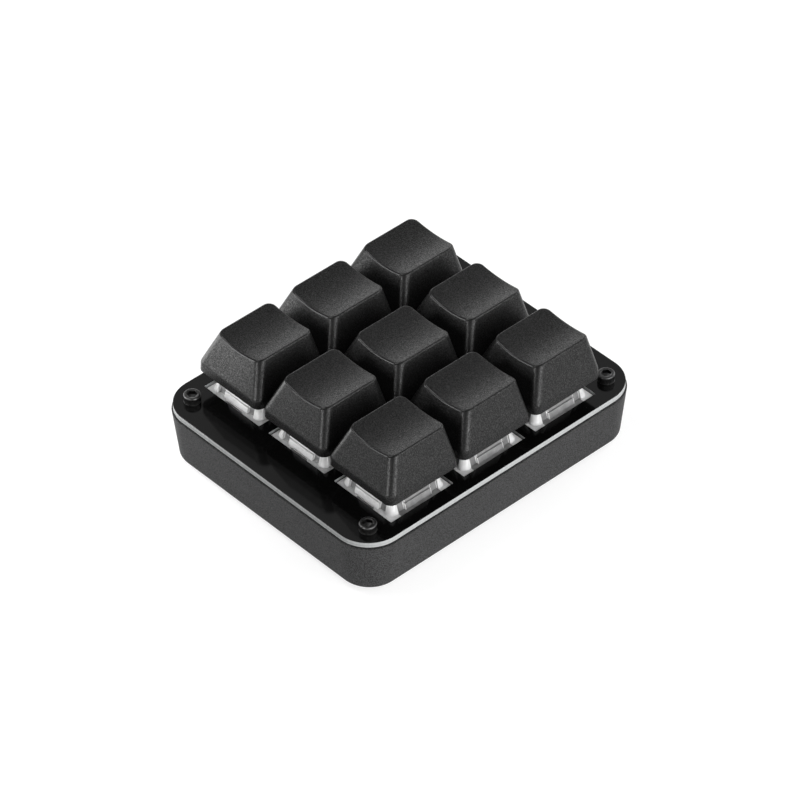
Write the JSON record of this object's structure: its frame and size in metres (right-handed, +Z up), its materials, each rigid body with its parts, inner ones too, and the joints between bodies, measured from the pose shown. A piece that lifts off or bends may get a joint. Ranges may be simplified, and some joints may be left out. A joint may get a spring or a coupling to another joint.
{
  "type": "macro keypad",
  "caption": "Small desk keypad: a square grid of dished keys on clear sprung switches, under a clear screwed cover on a tapered dark case, with a USB-C socket at the back.",
  "frame": {"origin": "on the desk, at the centre of the case's plan, level with the undersides of the feet", "axes": "+X to the user's right, +Y away from the user towards the USB socket, +Z up out of the key tops"},
  "size_m": [0.0616, 0.0738, 0.0276],
  "materials": {
    "case_plastic": "fine spark texture, dark grey",
    "clear_acrylic": "clear, polished faces and sawn edges",
    "plate_steel": "smooth black paint",
    "screw_steel": "black oxide",
    "insert_brass": "turned",
    "foot_rubber": "matte",
    "board_laminate": "black solder mask",
    "chip_resin": "moulded",
    "socket_steel": "drawn, plated",
    "socket_plastic": "moulded",
    "contact_brass": "stamped strip",
    "keycap_plastic": "fine grain, dark grey",
    "stem_plastic": "smooth",
    "spring_steel": "drawn wire",
    "clear_housing": "clear, slightly milky"
  },
  "bodies": {
    "base": {"case": "case_plastic", "cover": "clear_acrylic", "switch_plate": "plate_steel", "corner_screws": "screw_steel", "threaded_inserts": "insert_brass", "rubber_feet": "foot_rubber", "circuit_board": "board_laminate", "microcontroller": "chip_resin", "usb_shell": "socket_steel", "usb_tongue": "socket_plastic", "fixed_contacts": "contact_brass", "moving_contacts": "contact_brass", "spring_front_left": "spring_steel", "housing_top_front_left": "clear_housing", "housing_base_front_left": "clear_housing", "spring_front_centre": "spring_steel", "housing_top_front_centre": "clear_housing", "housing_base_front_centre": "clear_housing", "spring_front_right": "spring_steel", "housing_top_front_right": "clear_housing", "housing_base_front_right": "clear_housing", "spring_middle_left": "spring_steel", "housing_top_middle_left": "clear_housing", "housing_base_middle_left": "clear_housing", "spring_middle_centre": "spring_steel", "housing_top_middle_centre": "clear_housing", "housing_base_middle_centre": "clear_housing", "spring_middle_right": "spring_steel", "housing_top_middle_right": "clear_housing", "housing_base_middle_right": "clear_housing", "spring_back_left": "spring_steel", "housing_top_back_left": "clear_housing", "housing_base_back_left": "clear_housing", "spring_back_centre": "spring_steel", "housing_top_back_centre": "clear_housing", "housing_base_back_centre": "clear_housing", "spring_back_right": "spring_steel", "housing_top_back_right": "clear_housing", "housing_base_back_right": "clear_housing"},
    "key_front_left": {"keycap_front_left": "keycap_plastic", "stem_front_left": "stem_plastic"},
    "key_front_centre": {"keycap_front_centre": "keycap_plastic", "stem_front_centre": "stem_plastic"},
    "key_front_right": {"keycap_front_right": "keycap_plastic", "stem_front_right": "stem_plastic"},
    "key_middle_left": {"keycap_middle_left": "keycap_plastic", "stem_middle_left": "stem_plastic"},
    "key_middle_centre": {"keycap_middle_centre": "keycap_plastic", "stem_middle_centre": "stem_plastic"},
    "key_middle_right": {"keycap_middle_right": "keycap_plastic", "stem_middle_right": "stem_plastic"},
    "key_back_left": {"keycap_back_left": "keycap_plastic", "stem_back_left": "stem_plastic"},
    "key_back_centre": {"keycap_back_centre": "keycap_plastic", "stem_back_centre": "stem_plastic"},
    "key_back_right": {"keycap_back_right": "keycap_plastic", "stem_back_right": "stem_plastic"}
  },
  "joints": [
    {"name": "press_front_left", "type": "slide", "parent": "base", "child": "key_front_left", "axis": [0, 0, -1], "range_m": [0, 0.004], "stiffness_N_per_m": 65, "springref_m": -0.006, "deforming": ["spring_front_left"]},
    {"name": "press_front_centre", "type": "slide", "parent": "base", "child": "key_front_centre", "axis": [0, 0, -1], "range_m": [0, 0.004], "stiffness_N_per_m": 65, "springref_m": -0.006, "deforming": ["spring_front_centre"]},
    {"name": "press_front_right", "type": "slide", "parent": "base", "child": "key_front_right", "axis": [0, 0, -1], "range_m": [0, 0.004], "stiffness_N_per_m": 65, "springref_m": -0.006, "deforming": ["spring_front_right"]},
    {"name": "press_middle_left", "type": "slide", "parent": "base", "child": "key_middle_left", "axis": [0, 0, -1], "range_m": [0, 0.004], "stiffness_N_per_m": 65, "springref_m": -0.006, "deforming": ["spring_middle_left"]},
    {"name": "press_middle_centre", "type": "slide", "parent": "base", "child": "key_middle_centre", "axis": [0, 0, -1], "range_m": [0, 0.004], "stiffness_N_per_m": 65, "springref_m": -0.006, "deforming": ["spring_middle_centre"]},
    {"name": "press_middle_right", "type": "slide", "parent": "base", "child": "key_middle_right", "axis": [0, 0, -1], "range_m": [0, 0.004], "stiffness_N_per_m": 65, "springref_m": -0.006, "deforming": ["spring_middle_right"]},
    {"name": "press_back_left", "type": "slide", "parent": "base", "child": "key_back_left", "axis": [0, 0, -1], "range_m": [0, 0.004], "stiffness_N_per_m": 65, "springref_m": -0.006, "deforming": ["spring_back_left"]},
    {"name": "press_back_centre", "type": "slide", "parent": "base", "child": "key_back_centre", "axis": [0, 0, -1], "range_m": [0, 0.004], "stiffness_N_per_m": 65, "springref_m": -0.006, "deforming": ["spring_back_centre"]},
    {"name": "press_back_right", "type": "slide", "parent": "base", "child": "key_back_right", "axis": [0, 0, -1], "range_m": [0, 0.004], "stiffness_N_per_m": 65, "springref_m": -0.006, "deforming": ["spring_back_right"]}
  ]
}
